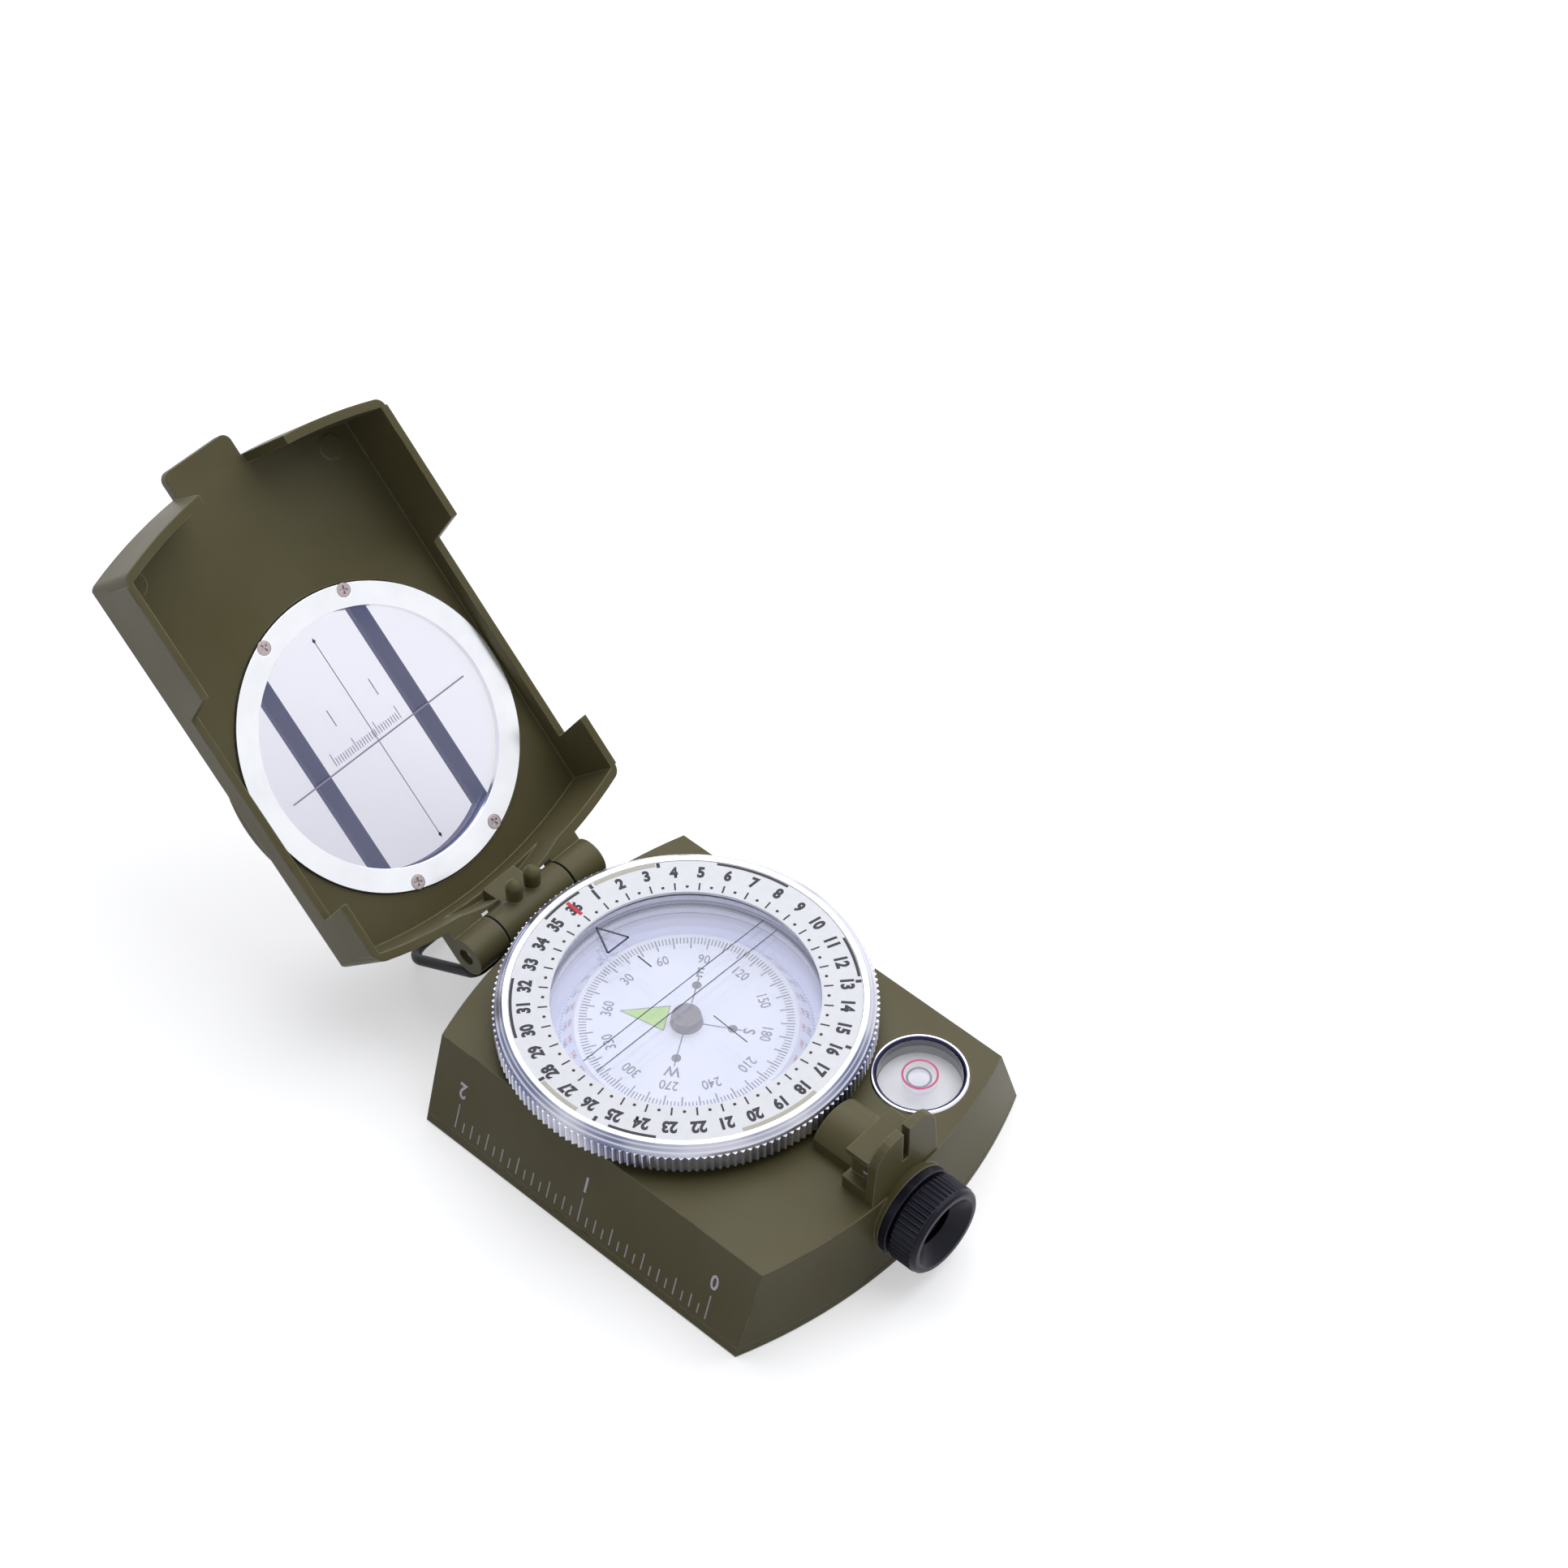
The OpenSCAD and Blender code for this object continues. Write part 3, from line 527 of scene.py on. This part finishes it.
def piece(name, mesh, body, material, smooth=False):
    """Turns a bmesh in millimetres into an object that rides a body."""
    bmesh.ops.transform(mesh, matrix=Matrix.Scale(MM, 4), verts=mesh.verts)
    data = bpy.data.meshes.new(name)
    mesh.to_mesh(data)
    mesh.free()
    data.materials.append(material)
    if smooth:
        data.shade_smooth()
    made = bpy.data.objects.new(name, data)
    bpy.context.scene.collection.objects.link(made)
    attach(made, body)


# Azimuth ring: radii from the dial's centre and sizes, in millimetres
RING_NUMBER_R = 23.95
RING_NUMBER_H = 2.15
RING_TICK_R = 21.15
RING_TICK_WIDTH = 0.26
RING_TICK_LENGTH = 1.4
RING_DOT_R = 21.1
RING_DOT = 0.25
RED_MARK_R = 23.9
RED_MARK_WIDTH = 0.6
RED_MARK_LENGTH = 3.2
RIM_R = 26.1
RIM_ARC_R = 25.65
RIM_PALE_ARC_R = 25.45
RIM_TICK_R = 25.2
RIM_TICK_HALF = 0.6

# Dark and pale arcs and dark ticks round the ring's rim, in degrees clockwise from the red mark
RIM_ARCS = ((-10, 6), (55, 81), (110, 127), (234, 250), (298, 323))
RIM_PALE_ARCS = ((12, 34), (178, 206), (262, 278))
RIM_TICKS = (10.5, 35, 129, 157, 255, 279)


def bezel_printing():
    """Numbers in tens of degrees, with a tick at each and a dot between them."""
    numbers = Marks("bezel_numbers", "bezel", black_ink, "black_metal")
    ticks = Marks("bezel_ticks", "bezel", black_ink, "black_metal")
    dark_arcs = Marks("bezel_rim_arcs", "bezel", black_ink, "black_metal")
    pale_arcs = Marks("bezel_rim_pale_arcs", "bezel", pale_rim_tone, "olive_paint")
    red = Marks("bezel_red_mark", "bezel", red_ink, "jewel")
    z = AZIMUTH_Z + INK
    for tens in range(1, 37):
        angle = BEZEL_TURN + 10 * tens
        numbers.words(str(tens), on_dial(angle, RING_NUMBER_R, z), RING_NUMBER_H, narrow=0.84, bold=0.05)
        ticks.bar(on_dial(angle, RING_TICK_R, z), RING_TICK_WIDTH, RING_TICK_LENGTH)
        ticks.dot(on_dial(angle + 5, RING_DOT_R, z), RING_DOT)
    red.bar(on_dial(BEZEL_TURN, RED_MARK_R, z + INK), RED_MARK_WIDTH, RED_MARK_LENGTH)
    centre = on_dial(BEZEL_TURN, 0, z)
    # Dark and pale arcs and dark ticks round the rim, as plain bands of colour
    for first, last in RIM_ARCS:
        dark_arcs.arc(centre, RIM_ARC_R, RIM_R, first, last)
    for angle in RIM_TICKS:
        dark_arcs.arc(centre, RIM_TICK_R, RIM_R, angle - RIM_TICK_HALF, angle + RIM_TICK_HALF, steps=2)
    for first, last in RIM_PALE_ARCS:
        pale_arcs.arc(centre, RIM_PALE_ARC_R, RIM_R, first, last)
    for marks in (numbers, ticks, dark_arcs, pale_arcs, red):
        marks.done()


# Bezel glass: places from the dial's centre, with +Y to the red mark, and widths, in millimetres
PAIR_Y = (-0.4, 2.35)
PAIR_HALF = 18.6
PAIR_WIDTH = 0.17
POINTER = [(0, 19.2), (-2.15, 14.4), (2.15, 14.4)]
POINTER_WIDTH = 0.34
INDEX_X = 0.6
INDEX_FRONT = (10.9, 7.9)
INDEX_FRONT_WIDTH = 0.24
INDEX_BACK = (-5.2, -12.2)
INDEX_BACK_WIDTH = 0.18


def bezel_glass_lines():
    """The pair of lines across the glass, the open triangle and the two short index lines."""
    lines = Marks("bezel_glass_lines", "bezel", glass_ink, "black_metal")
    place = on_dial(BEZEL_TURN, 0, GLASS_Z + INK)
    for y in PAIR_Y:
        lines.line((-PAIR_HALF, y), (PAIR_HALF, y), PAIR_WIDTH, place)
    lines.outline(POINTER, POINTER_WIDTH, place)
    for (start, end), width in ((INDEX_FRONT, INDEX_FRONT_WIDTH), (INDEX_BACK, INDEX_BACK_WIDTH)):
        lines.line((INDEX_X, start), (INDEX_X, end), width, place)
    lines.done()


# Card: radii from the dial's centre, and sizes, in millimetres
CARD_TICK_R = 16.1
TEN_TICK_LENGTH = 2.1
TEN_TICK_WIDTH = 0.22
TWO_TICK_LENGTH = 1.2
TWO_TICK_WIDTH = 0.17
CARD_NUMBER_R = 12.1
CARD_NUMBER_H = 1.7
LETTER_R = 9.5
LETTER_H = 1.85
SPOKE_DOT_R = 7.0
SPOKE_DOT = 0.74
SPOKE_R = 5.4
SPOKE_WIDTH = 0.2
SPOKE_LENGTH = 6.2
ARROW = [(0, 10.1), (-2.35, 3.0), (2.35, 3.0)]
ARROW_LINE = 0.12


def card_printing():
    """Degrees every thirty, ticks every two, the letters on their spokes and the green north arrow."""
    numbers = Marks("card_numbers", "dial", card_ink, "black_metal")
    letters = Marks("card_letters", "dial", card_ink, "black_metal")
    ticks = Marks("card_ticks", "dial", card_ink, "black_metal")
    needle = Marks("card_needle", "dial", green_ink, "white_enamel")
    z = CARD_Z + INK
    for degrees in range(0, 360, 2):
        is_ten = degrees % 10 == 0
        length = TEN_TICK_LENGTH if is_ten else TWO_TICK_LENGTH
        width = TEN_TICK_WIDTH if is_ten else TWO_TICK_WIDTH
        ticks.bar(on_dial(CARD_TURN + degrees, CARD_TICK_R - length / 2, z), width, length)
    for degrees in range(30, 390, 30):
        place = on_dial(CARD_TURN + degrees, CARD_NUMBER_R, z)
        numbers.words(str(degrees), place, CARD_NUMBER_H, narrow=0.82, bold=0.01)
    for letter, degrees in (("E", 90), ("S", 180), ("W", 270)):
        angle = CARD_TURN + degrees
        letters.words(letter, on_dial(angle, LETTER_R, z), LETTER_H, narrow=0.9, bold=0.02)
        letters.dot(on_dial(angle, SPOKE_DOT_R, z), SPOKE_DOT)
        letters.bar(on_dial(angle, SPOKE_R, z), SPOKE_WIDTH, SPOKE_LENGTH)
    north = on_dial(CARD_TURN, 0, z)
    needle.fill(ARROW, north)
    letters.outline(ARROW, ARROW_LINE, north @ shift(z=INK))
    for marks in (numbers, letters, ticks, needle):
        marks.done()


# Flange: where it starts outside the card, in millimetres, and the rings of its printing, given as
# parts of its slope from 0 at the card to 1 at its edge
FLANGE_GAP = 0.25
RED_RING = 0.26
RED_RING_H = 0.85
BLACK_RING = 0.55
BLACK_RING_H = 0.95
SCALE_RING = 0.84
SCALE_WIDTH = 0.14
SCALE_LONG = 0.9
SCALE_SHORT = 0.6


def on_flange(clockwise, part):
    """A place on the card's sloping flange, at a part of its slope."""
    inner = CARD_R + FLANGE_GAP
    radius = inner + part * (FLANGE_R - inner)
    z = CARD_Z + part * (FLANGE_Z - CARD_Z)
    slope = math.degrees(math.atan2(CARD_Z - FLANGE_Z, FLANGE_R - inner))
    return on_dial(clockwise, radius, z) @ turn(-slope, "X") @ shift(z=INK)


def flange_printing():
    """Two rings of tiny numbers, half a turn apart, and a fine scale."""
    black = Marks("flange_numbers", "dial", card_ink, "black_metal")
    red = Marks("flange_red_numbers", "dial", red_ink, "jewel")
    scale = Marks("flange_scale", "dial", card_ink, "black_metal")
    for degrees in range(0, 360, 10):
        angle = CARD_TURN + degrees
        near = str(degrees or 360)
        far = str((degrees + 180) % 360 or 360)
        red.words(near, on_flange(angle, RED_RING) @ turn(180), RED_RING_H, narrow=0.8, bold=0.01)
        black.words(far, on_flange(angle, BLACK_RING) @ turn(180), BLACK_RING_H, narrow=0.8, bold=0.01)
    for degrees in range(0, 360, 2):
        length = SCALE_LONG if degrees % 10 == 0 else SCALE_SHORT
        scale.bar(on_flange(CARD_TURN + degrees, SCALE_RING), SCALE_WIDTH, length)
    for marks in (black, red, scale):
        marks.done()


# Level: the printed circle and the bubble, in millimetres
CIRCLE_INNER = 2.45
CIRCLE_OUTER = 2.78
CIRCLE_STEPS = 48
BUBBLE_OFFSET = Vector((-0.1, 0.1, -0.5))
BUBBLE_R = 1.95
BUBBLE_FLATNESS = 0.2
BUBBLE_SIDES = 40
BUBBLE_RIM_R = 1.6
BUBBLE_RIM_Z = 0.45


def level_marks():
    """The circle on the level's glass, and under it the bubble with a dark ring of painted shade round its
    edge.
    """
    circle = Marks("level_circle", "base", pink_ink, "jewel")
    top = Matrix.Translation(LEVEL) @ shift(z=LEVEL_GLASS_T + INK)
    circle.arc(top, CIRCLE_INNER, CIRCLE_OUTER, 0, 360, CIRCLE_STEPS)
    circle.done()
    bubble = bmesh.new()
    place = Matrix.Translation(LEVEL + BUBBLE_OFFSET)
    bmesh.ops.create_uvsphere(bubble, u_segments=BUBBLE_SIDES, v_segments=BUBBLE_SIDES // 2,
                              radius=BUBBLE_R, matrix=place @ stretch(1, 1, BUBBLE_FLATNESS))
    piece("level_bubble", bubble, "base", bubble_clear, smooth=True)
    # painted shade: a dark ring round the bubble's edge
    rim = Marks("level_bubble_rim", "base", bubble_edge_shade, "hub_metal")
    rim.arc(place @ shift(z=BUBBLE_RIM_Z), BUBBLE_RIM_R, BUBBLE_R, 0, 360, CIRCLE_STEPS)
    rim.done()


# Ruler: where its zero lies, its ticks and its numbers, in millimetres
INCH = 25.4
INCHES = 2
RULER_ZERO_Y = -24.8
TICK_FOOT = 2.2
TICK_WIDTH = 0.25
RULER_NUMBER_Z = 8.9
RULER_NUMBER_H = 2.8

# How high a tick reaches at each whole inch, quarter, eighth and sixteenth
TICK_TOPS = {16: 6.5, 4: 5.2, 2: 4.6, 1: 4.0}

# How much longer a tick is along the slope than it is high
SLOPE_STRETCH = 1.05


def on_ruler(inches, height):
    """A place on the sloping left face, with +Y up the slope and +X towards the eyepiece."""
    part = height / BASE_H
    x = -(FOOT_HALF + part * (TOP_HALF - FOOT_HALF))
    lean = math.degrees(math.atan2(BASE_H, FOOT_HALF - TOP_HALF))
    return shift(x, RULER_ZERO_Y + INCH * inches, height) @ turn(-90) @ turn(lean, "X") @ shift(z=INK)


def ruler_marks():
    """An inch ruler in sixteenths."""
    ruler = Marks("ruler_marks", "base", ruler_paint, "white_enamel")
    numbers = Marks("ruler_numbers", "base", number_paint, "white_enamel")
    for sixteenth in range(16 * INCHES + 1):
        top = next(top for step, top in TICK_TOPS.items() if sixteenth % step == 0)
        middle = on_ruler(sixteenth / 16, (TICK_FOOT + top) / 2)
        ruler.bar(middle, TICK_WIDTH, (top - TICK_FOOT) * SLOPE_STRETCH)
    for inch in range(INCHES + 1):
        place = on_ruler(inch, RULER_NUMBER_Z) @ turn(180)
        numbers.words(str(inch), place, RULER_NUMBER_H, narrow=0.8, bold=0.02)
    ruler.done()
    numbers.done()


# Window: places from its middle, with +Y to the hinge, and widths, in millimetres
CROSS_Y = 0.5
CROSS_HALF = 18
CROSS_WIDTH = 0.26
HAIR_X = -0.2
HAIR_TOP = 18.4
HAIR_FOOT = -18.2
HAIR_WIDTH = 0.18
TIP_LENGTH = 1.0
TIP_HALF = 0.3
WINDOW_SCALE_X = -8.4
WINDOW_SCALE_Y = -0.2
WINDOW_SCALE_STEP = 0.5
WINDOW_SCALE_COUNT = 28
WINDOW_SCALE_WIDTH = 0.16
WINDOW_TICK_LONG = 2.2
WINDOW_TICK_SHORT = 1.2
SIDE_LINE_X = (-4.8, 4.0)
SIDE_LINE_TOP = -5.2
SIDE_LINE_FOOT = -8.1
SIDE_LINE_WIDTH = 0.2


def window_marks():
    """The sighting hairline with its tips, the line across it, and a faint scale along that line."""
    lines = Marks("window_lines", "lid", hairline_ink, "hub_metal")
    scale = Marks("window_scale", "lid", faint_ink, "hub_metal")
    tips = Marks("window_line_tips", "lid", glass_ink, "black_metal")
    place = on_lid(0, WINDOW_Y, WINDOW_GLASS_Z - INK)
    lines.line((-CROSS_HALF, CROSS_Y), (CROSS_HALF, CROSS_Y), CROSS_WIDTH, place)
    lines.line((HAIR_X, HAIR_TOP), (HAIR_X, HAIR_FOOT), HAIR_WIDTH, place)
    for step in range(WINDOW_SCALE_COUNT):
        x = WINDOW_SCALE_STEP * step + WINDOW_SCALE_X
        length = WINDOW_TICK_LONG if step % 9 == 0 else WINDOW_TICK_SHORT
        scale.line((x, WINDOW_SCALE_Y), (x, WINDOW_SCALE_Y - length), WINDOW_SCALE_WIDTH, place)
    for x in SIDE_LINE_X:
        scale.line((x, SIDE_LINE_TOP), (x, SIDE_LINE_FOOT), SIDE_LINE_WIDTH, place)
    for end, inwards in ((HAIR_TOP, -TIP_LENGTH), (HAIR_FOOT, TIP_LENGTH)):
        back = end + inwards
        middle = (end + back) / 2
        left, right = (HAIR_X - TIP_HALF, middle), (HAIR_X + TIP_HALF, middle)
        tips.fill([(HAIR_X, end), left, (HAIR_X, back), right], place)
    for marks in (lines, scale, tips):
        marks.done()


bezel_printing()
bezel_glass_lines()
card_printing()
flange_printing()
level_marks()
ruler_marks()
window_marks()


# Stage: a floor just under the foot, in metres, which fades to plain white from its near to its far radius
FLOOR_HALF = 6
FLOOR_Z = -0.0002
FLOOR_NEAR_R = 0.4
FLOOR_FAR_R = 1.2
FLOOR_GLOW = 0.45
FLOOR_WHITE = rgba(240, 240, 242)
FLOOR_GREY = rgba(186, 186, 192)

# The studio round it
STUDIO_COLOUR = (0.95, 0.97, 1.0, 1.0)
STUDIO_LIGHT = 0.25

# The photograph's view, in millimetres and degrees
CAMERA_PLACE = Vector((-255.85, -243.58, 473.58))
CAMERA_TILT = 41.44
CAMERA_HEADING = -47.91
CAMERA_LENS = 89.77
CAMERA_SENSOR = 36


def floor():
    """A floor that looks white but keeps the shadow, and lights the object as if it were grey."""
    mesh = bpy.data.meshes.new("floor")
    plane = bmesh.new()
    bmesh.ops.create_grid(plane, x_segments=1, y_segments=1, size=FLOOR_HALF, matrix=shift(z=FLOOR_Z))
    plane.to_mesh(mesh)
    plane.free()
    made = bpy.data.objects.new("floor", mesh)
    bpy.context.scene.collection.objects.link(made)
    g = material_graph("floor")
    seen_rays = g.rays("Is Camera Ray", "Is Glossy Ray", "Is Transmission Ray")
    grey = g.node("ShaderNodeBsdfDiffuse", {}, {"Color": FLOOR_GREY})
    white = g.node("ShaderNodeBsdfDiffuse", {}, {"Color": FLOOR_WHITE})
    lit = g.node("ShaderNodeEmission", {}, {"Color": WHITE, "Strength": FLOOR_GLOW})
    near = g.node("ShaderNodeAddShader", {}, {0: white, 1: lit})
    far = g.node("ShaderNodeEmission", {}, {"Color": WHITE, "Strength": 1.0})
    fading = g.ramp(g.distance(0, 0), FLOOR_NEAR_R, FLOOR_FAR_R)
    seen = g.node("ShaderNodeMixShader", {}, {0: fading, 1: near, 2: far})
    mesh.materials.append(g.surface(g.node("ShaderNodeMixShader", {}, {0: seen_rays, 1: grey, 2: seen})))


def world():
    """A white studio to look at and to mirror, which gives only a little light."""
    g = Graph(bpy.data.worlds.new("world"), "ShaderNodeOutputWorld")
    seen_rays = g.rays("Is Camera Ray", "Is Glossy Ray")
    strength = STUDIO_LIGHT + (1 - STUDIO_LIGHT) * seen_rays
    background = g.node("ShaderNodeBackground", {}, {"Color": STUDIO_COLOUR, "Strength": strength})
    bpy.context.scene.world = g.surface(background)


def softbox(name, where, aim, size, power, colour=(1.0, 1.0, 1.0), mirrored=False):
    """A soft lamp, which only shows in the glass and the metal if it's mirrored."""
    light = bpy.data.lights.new(name, "AREA")
    light.shape = "RECTANGLE"
    light.size, light.size_y = size
    light.energy = power
    light.color = colour
    made = bpy.data.objects.new(name, light)
    made.location = where
    made.rotation_euler = (Vector(aim) - Vector(where)).to_track_quat("-Z", "Y").to_euler()
    made.visible_glossy = mirrored
    bpy.context.scene.collection.objects.link(made)


def camera():
    data = bpy.data.cameras.new("camera")
    data.lens = CAMERA_LENS
    data.sensor_width = CAMERA_SENSOR
    made = bpy.data.objects.new("camera", data)
    made.location = CAMERA_PLACE * MM
    made.rotation_euler = (math.radians(CAMERA_TILT), 0, math.radians(CAMERA_HEADING))
    bpy.context.scene.collection.objects.link(made)
    bpy.context.scene.camera = made


floor()
world()
softbox("top", where=(0.4, 0.15, 0.72), aim=(0, 0.02, 0), size=(1.2, 1.0), power=7.2,
        colour=(0.98, 0.98, 1.0), mirrored=True)
softbox("left", where=(-0.7, 0.1, 0.35), aim=(0, 0.02, 0.02), size=(0.4, 0.4), power=0.3)
softbox("front", where=(0.75, -0.5, 0.25), aim=(0, 0, 0.02), size=(0.4, 0.4), power=1.4)
camera()
bpy.context.scene.view_settings.view_transform = "Standard"
